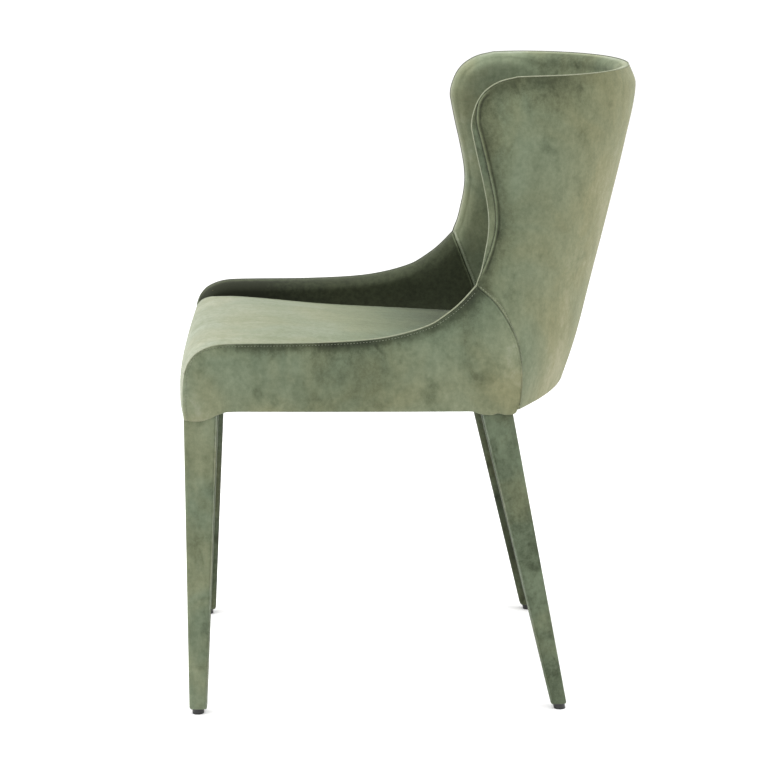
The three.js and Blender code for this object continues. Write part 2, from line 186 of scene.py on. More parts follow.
def patch(left, right, low, high):
    """The sheet stretched between four seams that share their corners."""
    corners = low(0), low(1), high(0), high(1)

    def at(u, v):
        across = left(v) * (1 - u) + right(v) * u
        up = low(u) * (1 - v) + high(u) * v
        bow = (corners[0] * (1 - u) * (1 - v) + corners[1] * u * (1 - v)
               + corners[2] * (1 - u) * v + corners[3] * u * v)
        return across + up - bow

    at.width = lambda v: np.linalg.norm(right(v) - left(v))
    at.height = lambda u: np.linalg.norm(high(u) - low(u))
    return at


def along_plan(points):
    return [(y - oval_start(z), z) for y, z in points]


def unrolled(s, z):
    return s + oval_start(z), z


print("arm edge, mm:", round(course(ARM_NOSE[2:] + ARM_TOP[1:]).length))

# %% [markdown]
# ## How a panel is made
# A panel starts as a flat grid, as cloth on a cutting table does, and every crossing is laid
# on the form. The rows are close together near a seam, where the cloth dives in, and wider
# apart in the middle. Each crossing also gets a nap value, 0 where it looks deepest and 1 where
# it looks palest, which holds the brushed pile together with painted light and shade, and a
# warmth, for the velvet to read.
# Solidify later turns the sheet into cloth with two faces and an edge.

# %% Panel helpers
CLOTH = 1.6  # velvet and its backing
ALLOWANCE = 4.6  # from a seam to its row of topstitching
NEAR_SEAM = (0, 0.6, 1.3, 2.1, 2.9, 3.7, 4.6, 5.5, 6.6, 8.2, 10.5, 13.5)
NEAR_HEM = (0, 0.7, 1.6, 2.8, 4.4, 6.8, 10)
SIDES = (("left", 1), ("right", -1))


def stations(length, first=(0,), last=(0,), pitch=4.0):
    """Shares of a length: fixed distances from both ends, and even steps between."""
    middle = length - first[-1] - last[-1]
    steps = max(int(round(middle / pitch)), 1)
    inside_with_painted_light = [first[-1] + middle * i / steps for i in range(1, steps)]
    marks = list(first) + inside_with_painted_light + [length - d for d in reversed(last)]
    return [m / length for m in marks]


def bump_at(distance, centre, width):
    """A soft hill, 1 at its centre."""
    return math.exp(-((distance - centre) / width) ** 2)


def smooth(t):
    """From 0 to 1 without corners."""
    t = min(max(t, 0), 1)
    return t * t * (3 - 2 * t)


def dip(distance, deep=2.4, reach=3.2):
    """How far the cloth has gone in, at a distance from a seam."""
    return deep * (1 - distance / reach) ** 2 if distance < reach else 0.0


def felled(distance):
    """The seam allowance lifts the cloth, and the stitches pull it down again."""
    return 0.55 * bump_at(distance, ALLOWANCE, 0.8) - 0.5 * bump_at(distance, 2.7, 1.2)


def pucker(distance, along, strength=1.0):
    """Small uneven gathers that the stitches leave in the cloth beside them."""
    wave = math.sin(along / 1.5) + 0.8 * math.sin(along / 2.7 + 1.3) + 0.6 * math.sin(along / 4.1 + 0.4)
    return 0.13 * strength * wave * bump_at(distance, ALLOWANCE, 3.6)


def lay(us, vs, place, outward, tone):
    """A grid laid on the form. outward is a direction that its middle faces."""
    bm = bmesh.new()
    bmesh.ops.create_grid(bm, x_segments=len(us) - 1, y_segments=len(vs) - 1, size=0.5)
    # the nap layer holds the brushed pile and painted light and shade
    nap_and_painted_light = bm.verts.layers.float.new("nap_and_painted_light")
    warmth = bm.verts.layers.float.new("warmth")
    for vert in bm.verts:
        i = round((vert.co.x + 0.5) * (len(us) - 1))
        j = round((vert.co.y + 0.5) * (len(vs) - 1))
        vert.co = place(us[i], vs[j])
        vert[nap_and_painted_light], vert[warmth] = tone(us[i], vs[j])
    bm.normal_update()
    toward = sum(f.normal.dot(Vector(outward)) * f.calc_area() for f in bm.faces)
    if toward < 0:
        bmesh.ops.reverse_faces(bm, faces=bm.faces)
    return bm


def make(name, bm, material):
    """Turn a finished bmesh into a piece that rides on the frame."""
    for face in bm.faces:
        face.smooth = True
    mesh = bpy.data.meshes.new(name)
    bm.to_mesh(mesh)
    bm.free()
    piece = bpy.data.objects.new(name, mesh)
    bpy.context.scene.collection.objects.link(piece)
    mesh.materials.append(material)
    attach(piece, "root")
    return piece


def cloth_edge(piece):
    """Give the sheet its thickness, inwards from the face that shows."""
    wall = piece.modifiers.new("cloth", "SOLIDIFY")
    wall.thickness = CLOTH * MM
    wall.offset = -1
    return piece


print("rows beside a seam:", len(NEAR_SEAM), "and beside a hem:", len(NEAR_HEM))

# %% [markdown]
# ## Swelling the padded panels
# Foam pushes a cover out until the cloth is taut between its seams. A short cloth simulation
# does the same. A coarse cut of the panel is pinned along its stitched edges and blown out by
# an even pressure for twenty frames. How far each crossing moved is then read between the
# coarse lines by the finely cut panel, so the stitching beside the seams stays crisp, and a
# cap keeps every point within a few millimetres of its place.

# %% Cloth simulation
FRAMES = 20
COARSE = 9.0  # spacing of the coarse cut
STRETCH = 20  # resistance of the cloth to being pulled or pushed
SHEAR = 8
BEND = 0.6


def swelling(us, vs, place, outward, pinned, pressure, cap):
    """How far, in metres, the sheet moves at (u, v) when it is blown out between its pins."""
    bm = lay(us, vs, place, outward, lambda u, v: (0, 0))
    order = [(vert.index, vert.co.copy()) for vert in bm.verts]
    mesh = bpy.data.meshes.new("blown")
    bm.to_mesh(mesh)
    bm.free()
    sheet = bpy.data.objects.new("blown", mesh)
    bpy.context.scene.collection.objects.link(sheet)
    held = sheet.vertex_groups.new(name="held")
    for index, co in order:
        held.add([index], pinned(co / MM), "REPLACE")
    cloth = sheet.modifiers.new("swell", "CLOTH")
    cloth.settings.quality = 5
    cloth.settings.mass = 0.3
    cloth.settings.tension_stiffness = STRETCH
    cloth.settings.compression_stiffness = STRETCH
    cloth.settings.shear_stiffness = SHEAR
    cloth.settings.bending_stiffness = BEND
    cloth.settings.use_pressure = True
    cloth.settings.uniform_pressure_force = pressure
    cloth.settings.vertex_group_mass = "held"
    cloth.settings.effector_weights.gravity = 0
    cloth.point_cache.frame_end = FRAMES
    for step in range(1, FRAMES + 1):
        bpy.context.scene.frame_set(step)
    shaped = sheet.evaluated_get(bpy.context.evaluated_depsgraph_get())
    moved = np.array([v.co[:] for v in shaped.data.vertices]) - np.array([co[:] for _, co in order])
    far = np.linalg.norm(moved, axis=1)
    kept = cap * MM * np.tanh(far / (cap * MM))
    moved *= (kept / np.maximum(far, 1e-9))[:, None]
    bpy.data.objects.remove(sheet)
    bpy.context.scene.frame_set(1)
    print("swelled by up to", round(float(kept.max()) / MM, 1), "mm")
    field = moved.reshape(len(vs), len(us), 3)

    def at(u, v):
        i = min(max(int(np.searchsorted(us, u)) - 1, 0), len(us) - 2)
        j = min(max(int(np.searchsorted(vs, v)) - 1, 0), len(vs) - 2)
        a = min(max((u - us[i]) / (us[i + 1] - us[i]), 0), 1)
        b = min(max((v - vs[j]) / (vs[j + 1] - vs[j]), 0), 1)
        low = field[j, i] * (1 - a) + field[j, i + 1] * a
        high = field[j + 1, i] * (1 - a) + field[j + 1, i + 1] * a
        return Vector(low * (1 - b) + high * b)

    return at


def blown(place, moved):
    """A panel's rule with its swelling added."""
    return lambda u, v: place(u, v) + moved(u, v)


print("swelling is", f"run for {FRAMES} frames")

# %% [markdown]
# ## Velvet
# Velvet is a pile of short upright hairs. Seen face on it looks deep and dark, at a glancing
# angle the hair tips catch the light and it looks pale, and where the pile has been brushed
# the other way it changes tone in soft patches. So one colour ramp runs from the deepest tone
# to the palest, and the nap value from the cutting table picks the place on it. That value is
# partly painted light and shade: pale where a place is lit or seen at a glance, deep where it
# lies in shade. A few scales of noise push the nap to and fro for the brushed patches, sheen
# gives the pale edges, and a fine bump gives the pile itself.

# %% Node helpers
def blank_finish(name):
    mat = bpy.data.materials.new(name)
    mat.use_nodes = True
    return mat


def noise(mat, vector, scale, detail, rough=0.55, distort=0.0, stretch=(1, 1, 1)):
    """Soft blotches on a vector. stretch squeezes them along its axes."""
    turn = mat.node_tree.nodes.new("ShaderNodeMapping")
    turn.inputs["Scale"].default_value = stretch
    mat.node_tree.links.new(vector, turn.inputs["Vector"])
    tex = mat.node_tree.nodes.new("ShaderNodeTexNoise")
    tex.inputs["Scale"].default_value = scale
    tex.inputs["Detail"].default_value = detail
    tex.inputs["Roughness"].default_value = rough
    tex.inputs["Distortion"].default_value = distort
    mat.node_tree.links.new(turn.outputs["Vector"], tex.inputs["Vector"])
    return tex.outputs["Fac"]


def ramp(mat, value, low, high, a, b):
    """a where the value is low, b where it is high, and smooth between."""
    step = mat.node_tree.nodes.new("ShaderNodeMapRange")
    step.interpolation_type = "SMOOTHSTEP"
    step.inputs["From Min"].default_value = low
    step.inputs["From Max"].default_value = high
    step.inputs["To Min"].default_value = a
    step.inputs["To Max"].default_value = b
    mat.node_tree.links.new(value, step.inputs["Value"])
    return step.outputs["Result"]


def sum_of(mat, *values):
    total = values[0]
    for value in values[1:]:
        add = mat.node_tree.nodes.new("ShaderNodeMath")
        add.operation = "ADD"
        mat.node_tree.links.new(total, add.inputs[0])
        mat.node_tree.links.new(value, add.inputs[1])
        total = add.outputs[0]
    return total


def painted(mat, attribute):
    """A value that was written on the panel's crossings."""
    read = mat.node_tree.nodes.new("ShaderNodeAttribute")
    read.attribute_name = attribute
    return read.outputs["Fac"]


def roughen(mat, height, strength, deep):
    """A bump on the finished surface, deep in metres."""
    bump = mat.node_tree.nodes.new("ShaderNodeBump")
    bump.inputs["Strength"].default_value = strength
    bump.inputs["Distance"].default_value = deep
    mat.node_tree.links.new(height, bump.inputs["Height"])
    mat.node_tree.links.new(bump.outputs["Normal"], mat.node_tree.nodes["Principled BSDF"].inputs["Normal"])


# %% [markdown]
# ## The velvet's own mixture
# The nap comes first: what the panel says, with its painted light and shade, plus broad
# brushed patches, smudges, strokes, a mottle and a fine grain. It picks a tone. A second slow
# noise drifts between a cool and a warm cast, which tints the tone. Streaks follow the way the
# pile was stroked, so each panel has its own, and its noise is read from a centre of its own,
# so that no two panels match.

# %% The velvet material
TONES = (
    (0.00, (0.014, 0.015, 0.009)),
    (0.25, (0.045, 0.049, 0.029)),
    (0.50, (0.105, 0.113, 0.074)),
    (0.70, (0.155, 0.160, 0.110)),
    (0.85, (0.210, 0.207, 0.164)),
    (1.00, (0.295, 0.287, 0.245)),
)
COOL = (0.86, 1.0, 0.96, 1)
WARM = (1.05, 1.02, 0.82, 1)
PILE_DEEP = 0.0006  # in metres


def brushed_nap_and_painted_light(mat, vector, streak, patches):
    """Where on the tones each place of a panel lies, from its painted light and shade and its brushed
    patches.
    """
    broad = ramp(mat, noise(mat, vector, 9, 3, distort=0.5, stretch=streak), 0.34, 0.66,
                 -0.09 * patches, 0.09 * patches)
    smudge = ramp(mat, noise(mat, vector, 26, 4, rough=0.6, distort=0.3), 0.52, 0.75, 0.0, -0.17 * patches)
    stroke = ramp(mat, noise(mat, vector, 60, 3, rough=0.6, stretch=streak), 0.3, 0.7,
                  -0.05 * patches, 0.05 * patches)
    mottle = ramp(mat, noise(mat, vector, 150, 4, rough=0.7), 0.3, 0.7, -0.055, 0.055)
    grain = ramp(mat, noise(mat, vector, 900, 2, rough=0.6), 0.3, 0.7, -0.02, 0.02)
    return sum_of(mat, painted(mat, "nap_and_painted_light"), broad, smudge, stroke, mottle, grain)


def velvet(name, streak, patches=1.0, sheen=0.15, centre=(0, 0, 0)):
    """streak stretches the brushed patches along the way the pile was stroked."""
    mat = blank_finish(name)
    nodes, links = mat.node_tree.nodes, mat.node_tree.links
    shader = nodes["Principled BSDF"]
    shader.inputs["Roughness"].default_value = 0.85
    shader.inputs["Specular IOR Level"].default_value = 0.15
    shader.inputs["Sheen Weight"].default_value = sheen
    shader.inputs["Sheen Roughness"].default_value = 0.4
    shader.inputs["Sheen Tint"].default_value = (0.9, 0.95, 0.78, 1)
    coords = nodes.new("ShaderNodeTexCoord")
    shift = nodes.new("ShaderNodeMapping")
    shift.inputs["Location"].default_value = centre
    links.new(coords.outputs["Object"], shift.inputs["Vector"])
    vector = shift.outputs["Vector"]
    tone = nodes.new("ShaderNodeValToRGB")
    for _ in TONES[2:]:
        tone.color_ramp.elements.new(0.5)
    for stop, (place, colour) in zip(tone.color_ramp.elements, TONES):
        stop.position = place
        stop.color = (*colour, 1)
    links.new(brushed_nap_and_painted_light(mat, vector, streak, patches), tone.inputs["Fac"])
    cast = nodes.new("ShaderNodeMix")
    cast.data_type = "RGBA"
    cast.inputs["A"].default_value = COOL
    cast.inputs["B"].default_value = WARM
    drift = ramp(mat, noise(mat, vector, 8, 3, distort=0.5), 0.36, 0.64, -0.3 * patches, 0.3 * patches)
    links.new(sum_of(mat, painted(mat, "warmth"), drift), cast.inputs["Factor"])
    dyed = nodes.new("ShaderNodeMix")
    dyed.data_type = "RGBA"
    dyed.blend_type = "MULTIPLY"
    dyed.inputs["Factor"].default_value = 1
    links.new(tone.outputs["Color"], dyed.inputs["A"])
    links.new(cast.outputs["Result"], dyed.inputs["B"])
    links.new(dyed.outputs["Result"], shader.inputs["Base Color"])
    pile = sum_of(mat, noise(mat, vector, 1500, 2), noise(mat, vector, 170, 4, rough=0.65))
    roughen(mat, pile, 0.22, PILE_DEEP)
    return mat


outer_velvet = velvet("velvet_outer", (1, 1, 0.6))
back_velvet = velvet("velvet_outer_back", (1, 1, 0.45), patches=0.8, centre=(3, 1, 2))
lining_velvet = velvet("velvet_lining", (1, 1, 0.6), patches=0.8, centre=(5, 2, 4))
arm_velvet = velvet("velvet_arm_lining", (1, 0.6, 1), patches=0.25, centre=(1, 7, 4))
seat_velvet = velvet("velvet_seat", (1.2, 0.25, 1), patches=0.5, centre=(2, 5, 1))
leg_velvet = velvet("velvet_leg", (1, 1, 0.5), patches=1.1, centre=(6, 3, 9))
print("nodes in one velvet:", len(outer_velvet.node_tree.nodes))

# %% [markdown]
# ## Side covers
# The side cover is the long low panel from the front of the seat to the seam with the outer
# back. Its top edge is the arm line. The hem droops over the tops of the legs, where the
# cloth is pulled round them, and over the rear leg it is lapped in a small pleat. A dark band
# of painted shade runs along the top seam, under the roll of the arm, and the cover is painted
# paler towards the hem and the front.

# %% Side covers
SIDE_LENGTH = 440
SIDE_HEIGHT = 105
side_patch = patch(course(ARM_NOSE), course(BACK_SEAM), course(ARM_HEM), course(ARM_TOP))
OVER_LEGS = ((-281, 26), (110, 27))  # middle and half length of the hem over each leg
PLEAT = 111


def over_leg(y):
    return max(smooth((half + 6 - abs(y - middle)) / 8) for middle, half in OVER_LEGS)


def side_edges(u, v):
    """Distances of a crossing from the top, hem, front and rear seams."""
    high, wide = side_patch.height(u), side_patch.width(v)
    return (1 - v) * high, v * high, u * wide, (1 - u) * wide


def side_place(side):
    def place(u, v):
        y, z = side_patch(u, v)
        top, hem, front, back = side_edges(u, v)
        edge = min(top, front)
        corner = 1 + 2.2 * bump_at(front, 12, 30) * bump_at(top, 5, 14)
        depth = dip(edge) + dip(back, 2.0, 2.6) + dip(hem, 1.0, 2.4)
        depth += felled(edge) + 0.7 * felled(back)
        depth += pucker(edge, y + z, corner) + pucker(back, z, 0.8)
        proud = over_leg(y) * bump_at(hem, 0, 20)
        depth -= 1.3 * proud
        depth -= 1.1 * proud * bump_at(y, PLEAT - 5, 4) * bump_at(hem, 0, 9)
        depth += 1.5 * proud * bump_at(y, PLEAT, 1.6) * bump_at(hem, 0, 8)
        return Vector((side * (half_width(z) - depth), y, z)) * MM
    return place


def side_tone(u, v):
    top, hem, front, back = side_edges(u, v)
    nap_and_painted_light = 0.45 + 0.13 * smooth(top / 105) + 0.20 * smooth(1 - u * 2.6)
    # painted shade: a dark band under the arm's roll, along the top seam
    nap_and_painted_light -= 0.30 * bump_at(top, 5, 11) * smooth(u * 6)
    nap_and_painted_light += 0.05 * smooth(1 - back / 60)
    return nap_and_painted_light, 0.12 + 0.42 * smooth(top / 100) + 0.15 * u


def pinned_side(co):
    """1 where the side cover is stitched down, 0 where it may swell."""
    return 1 - smooth(min(co.z - 428, 517 - co.z, co.y + 296, 128 - co.y) / 12)


side_us = stations(SIDE_LENGTH, NEAR_SEAM, NEAR_SEAM, pitch=2.4)
side_vs = stations(SIDE_HEIGHT, NEAR_HEM, NEAR_SEAM, pitch=3.4)
coarse_us = stations(SIDE_LENGTH, pitch=COARSE)
coarse_vs = stations(SIDE_HEIGHT, pitch=COARSE)
for side_name, side in SIDES:
    place, facing = side_place(side), (side, 0, 0)
    moved = swelling(coarse_us, coarse_vs, place, facing, pinned_side, pressure=2.0, cap=1.6)
    bm = lay(side_us, side_vs, blown(place, moved), facing, side_tone)
    piece = cloth_edge(make(f"{side_name}_side_velvet", bm, outer_velvet))
    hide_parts(f"{side_name}_side_cover")
print("side cover grid:", len(side_us), "by", len(side_vs))

# %% [markdown]
# ## Outer back cover
# One panel wraps the whole back from wing to wing. It is laid from the side seam round the
# spine to the other seam, its top edge follows the rim of the wings, and its lower edge
# turns under. Beside the wings its tone is cool and mottled. Round the back it is painted paler
# and warmer, as a painted sheen where the cover turns away, and it is painted darker towards
# the top and in a band below the rim as painted shade. Thin painted highlights run along the
# seam and the rim's edge.

# %% Outer back cover
BACK_AROUND = 300
BACK_HEIGHT = 435
back_patch = patch(
    joined(course(along_plan(BACK_SEAM)), course(along_plan(WING_SEAM))),
    course([(ARC, PANEL_BOTTOM), (ARC, TOP - 0.8)]),
    course([along_plan(BACK_SEAM)[0], (20, PANEL_BOTTOM), (ARC, PANEL_BOTTOM)]),
    course([along_plan(WING_SEAM)[-1], (5, TOP - 2.1), (60, TOP - 1.4), (170, TOP - 0.8), (ARC, TOP - 0.8)]),
)
wing_seam_line = [unrolled(*course(along_plan(WING_SEAM))(i / 700)) for i in range(701)]
top_line = [unrolled(*back_patch(i / 300, 1)) for i in range(301)]
from_wing_seam = distance_from(wing_seam_line + top_line)
from_side_seam = distance_from([unrolled(*course(along_plan(BACK_SEAM))(i / 400)) for i in range(401)])


def both_sides(half):
    """Carry a half panel's rule over to u from 1 to 2 on the other side."""
    def whole(u, v):
        return half(1, u, v) if u <= 1 else half(-1, 2 - u, v)
    return whole


def mirrored_stations(half):
    return half + [2 - u for u in reversed(half[:-1])]


def back_edges(s, z):
    """Distances from the side seam and from the rim, and 1 at the wings' height, 0 above and below."""
    flat = unrolled(s, z)
    wing = smooth((z - 600) / 15) * smooth((845 - z) / 15)
    return from_side_seam(*flat), from_wing_seam(*flat), wing


def back_place(side, u, v):
    s, z = back_patch(u, v)
    seam, rim, wing = back_edges(s, z)
    hem = v * back_patch.height(u)
    depth = dip(seam, 1.8, 2.6) + dip(rim, 1.2, 1.8) + dip(hem, 2.5, 5)
    depth += 0.8 * felled(seam) + pucker(seam, z, 1.1)
    depth += 0.8 * felled(rim) * wing + pucker(rim, s + z, 0.5 + 0.8 * wing)
    return body_point(side, s, z, depth)


def back_tone(side, u, v):
    s, z = back_patch(u, v)
    seam, rim, wing = back_edges(s, z)
    round_back = smooth((s - 10) / 150)
    # painted sheen: paler round the back; painted shade: darker towards the top and below the rim
    nap_and_painted_light = 0.62 + 0.10 * round_back
    nap_and_painted_light -= 0.17 * smooth((z - 690) / 140) * (1 - 0.6 * round_back)
    nap_and_painted_light -= 0.22 * bump_at(rim, 4, 18) * (1 - 0.75 * round_back)
    # darker beside the side seam, a painted highlight on its ridge, and at the wings a painted highlight on
    # the rim's fold with a painted shade line in the stitch gap
    nap_and_painted_light -= 0.10 * bump_at(seam, 5, 6) * (1 - smooth((560 - z) / 60))
    nap_and_painted_light += 0.22 * bump_at(seam, 1.6, 1.0)
    nap_and_painted_light += (0.25 * bump_at(rim, 1.2, 1.0) - 0.2 * bump_at(rim, 4.8, 1.3)) * wing
    return nap_and_painted_light, 0.3 + 0.7 * round_back


def pinned_back(co):
    """1 near the seams, the rim and the hem, 0 where the cover may swell."""
    return 1 - smooth(min(co.z - 434, TOP - 14 - co.z, co.y - oval_start(co.z) - 20) / 16)


back_us = mirrored_stations(stations(BACK_AROUND, NEAR_SEAM, pitch=3.4))
back_vs = stations(BACK_HEIGHT, NEAR_HEM, NEAR_SEAM, pitch=3.8)
coarse_us = mirrored_stations(stations(BACK_AROUND, pitch=COARSE))
coarse_vs = stations(BACK_HEIGHT, pitch=COARSE)
place = both_sides(back_place)
moved = swelling(coarse_us, coarse_vs, place, (0, 1, 0), pinned_back, pressure=2.0, cap=1.8)
bm = lay(back_us, back_vs, blown(place, moved), (0, 1, 0), both_sides(back_tone))
outer_back = cloth_edge(make("outer_back_velvet", bm, back_velvet))
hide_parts("outer_back_cover")
print("outer back grid:", len(back_us), "by", len(back_vs))

# %% [markdown]
# ## Wing facings
# Between the wing's edge and the outer back cover runs a narrow strip, widest at the waist
# and running out to nothing at both ends.

# %% Wing facings
wing_edge = course(along_plan(WING_EDGE[:13]))
wing_seam = course(along_plan(WING_SEAM[:12]))


def facing_place(side):
    def place(u, v):
        edge, seam = wing_edge(0.005 + 0.99 * u), wing_seam(0.005 + 0.99 * u)
        width = np.linalg.norm(edge - seam)
        s, z = seam * (1 - v) + edge * v
        depth = dip(v * width, 1.8, 2.2) + dip((1 - v) * width, 1.0, 2)
        return body_point(side, s, z, depth - 0.1)
    return place


def facing_tone(u, v):
    # painted shade: darker than the outer back, and darker still along its seam
    return 0.44 - 0.12 * bump_at(v, 0, 0.25), 0.2


facing_us = stations(240, pitch=3)
facing_vs = [0, 0.05, 0.12, 0.22, 0.36, 0.5, 0.64, 0.78, 0.88, 0.95, 1]
for side_name, side in SIDES:
    bm = lay(facing_us, facing_vs, facing_place(side), (side, 0, 0), facing_tone)
    piece = cloth_edge(make(f"{side_name}_wing_facing_velvet", bm, outer_velvet))
    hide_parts(f"{side_name}_wing_facing")
print("wing facings:", len(SIDES))

# %% [markdown]
# ## The rim and the linings
# The arms' edges, the wings and the top of the back are one long rim. There the lining comes
# out of the seam, rolls over to the inside in a quarter of an ellipse, and goes on down, so
# the edge is thin and crisp outside and soft inside. How deep the lining lies is then a rule
# of the distance from the rim alone. It is the same rule for the arms and for the back, so
# the linings meet along the inner seam. The roll grows out of the front corner of each arm.

# %% Depth of the linings
ARM_THICK = 28
ARM_ROLL = 15
BACK_THICK = 25  # of the wings and the top
WING_ROLL = 7
TOP_ROLL = 20
EDGE_DEPTH = 33.2  # thickness of the back once clear of the roll
CROWN = 16.5  # and how much more it is in the middle
EDGE = 1.2  # depth of the sewn edge itself
arm_rim = course(ARM_NOSE[3:] + ARM_TOP[1:])
wing_rim = course(along_plan(WING_EDGE))
top_rim = course([along_plan(WING_EDGE)[-1], (5, TOP - 1.7), (60, TOP - 1.2), (170, TOP - 0.5),
                  (ARC, TOP - 0.5)])
inner_seam = course(along_plan(INNER_SEAM))
rim_points = [arm_rim(i / 800) for i in range(800)]
rim_points += [np.array(unrolled(*wing_rim(i / 700))) for i in range(700)]
rim_points += [np.array(unrolled(*top_rim(i / 400))) for i in range(401)]
from_rim = distance_from(rim_points)
from_inner_seam = distance_from([unrolled(*inner_seam(i / 300)) for i in range(301)])


def lining_depth(s, z):
    """Depth of the lining at a place, and how far that place is from the rim."""
    y, z = unrolled(s, z)
    rim = from_rim(y, z)
    back = smooth((s + 130) / 110)  # 0 along the arms, 1 on the back
    grown = smooth((y + 303) / 28)
    upper = smooth(s / 80)  # 0 along the wings, 1 on the top
    thick = (4 + (ARM_THICK - 4) * grown) * (1 - back) + BACK_THICK * back
    roll = (6 + (ARM_ROLL - 6) * grown) * (1 - back) + (WING_ROLL + (TOP_ROLL - WING_ROLL) * upper) * back
    turned = math.sqrt(1 - (1 - min(rim / roll, 1)) ** 2)
    pad = 1 - math.exp(-max(rim - roll, 0) / (5 + 7 * upper))
    share = min(max((z - PANEL_BOTTOM) / (TOP - PANEL_BOTTOM), 0), 1)
    crown = CROWN * math.sin(math.pi / 2 * max(s + 20, 0) / (ARC + 20)) * math.sin(math.pi * share) ** 0.7
    depth = EDGE + (thick - EDGE) * turned + (EDGE_DEPTH - BACK_THICK + crown) * pad * back
    seam = from_inner_seam(y, z)
    stitched = dip(seam, 1.8, 2.8) + 0.8 * felled(seam) + pucker(seam, z, 0.8)
    return depth - stitched * smooth(rim / 6), rim, seam


print("the lining at the back's middle lies in, mm:", round(lining_depth(ARC, 660)[0]))

# %% [markdown]
# ## Arm linings
# Inside the arm the lining is painted almost black, as painted shade. It is painted a little
# paler round the nose and towards the back, as painted light against the shade there, and a
# pale line beside the inner seam is a painted highlight on its ridge. The crest of the roll
# is painted pale on the left arm, as a painted highlight, and deep on the right, as painted shade.

# %% Arm linings
ARM_FRONT = (-296, 468)  # where the lining's hem starts behind the nose
arm_patch = patch(course([ARM_FRONT, ARM_NOSE[3]]), course(INNER_SEAM),
                  course([ARM_FRONT, (-280, 466), (60, 466), INNER_SEAM[0]]), arm_rim)
ARM_ROWS = [i / 16 for i in range(8)]
ARM_ROWS += [1 - 0.5 * (1 - math.cos(math.pi / 2 * i / 16)) for i in range(16, -1, -1)]


def arm_place(side):
    def place(u, v):
        y, z = arm_patch(u, v)
        depth, _, _ = lining_depth(y - oval_start(z), z)
        return Vector((side * (half_width(z) - depth), y, z)) * MM
    return place


def arm_tone(side):
    # the crest's tone: a painted highlight on the left arm, painted shade on the right
    crest_light_and_shade = 0.76 if side > 0 else 0.2

    def tone(u, v):
        y, z = arm_patch(u, v)
        _, rim, seam = lining_depth(y - oval_start(z), z)
        # painted shade: almost black, lifted by painted light towards the rear and round the nose, with a
        # painted highlight on the inner seam's ridge
        inside_with_painted_light = -0.05 + 0.22 * smooth(u * 1.3) + 0.16 * bump_at(u, 0, 0.05) + 0.3 * bump_at(seam, 2.2, 1.0)
        pale = 1 - smooth((rim - 0.2) / (0.8 + 1.6 * (1 - u)))
        return inside_with_painted_light + (crest_light_and_shade - inside_with_painted_light) * pale, 0.35
    return tone


arm_us = stations(430, (0, 1, 2.5, 4, 6, 9), NEAR_SEAM, pitch=3)
for side_name, side in SIDES:
    bm = lay(arm_us, ARM_ROWS, arm_place(side), (-side, 0, 0), arm_tone(side))
    piece = cloth_edge(make(f"{side_name}_arm_lining_velvet", bm, arm_velvet))
    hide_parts(f"{side_name}_arm_lining", f"{side_name}_arm_facing")
print("arm lining grid:", len(arm_us), "by", len(ARM_ROWS))

# %% [markdown]
# ## Back lining
# The lining of the back is laid from the inner seam and the wing's edge round to the other
# wing. It is padded, so it stands further in towards the middle of the back.

# %% Back lining
LINING_AROUND = 302
LINING_HEIGHT = 395
LINING_HEM = 465
ROLLED = [TOP_ROLL * (1 - math.cos(math.pi / 2 * i / 16)) for i in range(17)]
lining_patch = patch(
    joined(inner_seam, wing_rim),
    course([(ARC, LINING_HEM), (ARC, TOP - 0.5)]),
    course([along_plan(INNER_SEAM)[0], (ARC, LINING_HEM)]),
    top_rim,
)


def lining_place(side, u, v):
    s, z = lining_patch(u, v)
    depth, _, _ = lining_depth(s, z)
    return body_point(side, s, z, depth)


def lining_tone(side, u, v):
    s, z = lining_patch(u, v)
    _, rim, seam = lining_depth(s, z)
    # painted light: paler towards the front edge of the wings; also a little paler towards the middle of the
    # back and darker in a broad band inside the rim; a painted highlight on the inner seam's ridge with
    # painted shade beside it, and a painted highlight along the rim
    inside_with_painted_light = 0.46 + 0.19 * smooth(1 - (s + 20) / 110) + 0.05 * smooth((s - 200) / 80)
    inside_with_painted_light -= 0.07 * bump_at(rim, 40, 40) * smooth(s / 60)
    inside_with_painted_light += 0.25 * bump_at(seam, 2.4, 1.0) - 0.15 * bump_at(seam, 5, 1.4)
    pale = 1 - smooth((rim - 0.3) / 2.2)
    return inside_with_painted_light + (0.80 - inside_with_painted_light) * pale, 0.35


def pinned_lining(co):
    """1 near the rim, the seams and the hem, 0 where the lining may swell."""
    return 1 - smooth(min(co.z - 500, TOP - 40 - co.z, co.y - oval_start(co.z) - 22) / 20)


lining_us = mirrored_stations(stations(LINING_AROUND, ROLLED, pitch=5))
lining_vs = stations(LINING_HEIGHT, NEAR_HEM, ROLLED, pitch=4)
coarse_us = mirrored_stations(stations(LINING_AROUND, pitch=COARSE))
coarse_vs = stations(LINING_HEIGHT, pitch=COARSE)
place = both_sides(lining_place)
moved = swelling(coarse_us, coarse_vs, place, (0, -1, 0), pinned_lining, pressure=2.5, cap=4.0)
bm = lay(lining_us, lining_vs, blown(place, moved), (0, -1, 0), both_sides(lining_tone))
back_lining = cloth_edge(make("back_lining_velvet", bm, lining_velvet))
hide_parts("back_lining", "top_facing")
print("back lining grid:", len(lining_us), "by", len(lining_vs))

# %% [markdown]
# ## The bead along the rim
# Where cover and lining are sewn together their edges stand up as a thin bead. It is painted
# as the palest line on the chair all the way round, a painted highlight. It runs in one
# piece from the front of one arm over the wings to the front of the other.

# %% Rim bead
BEAD = 0.8  # radius


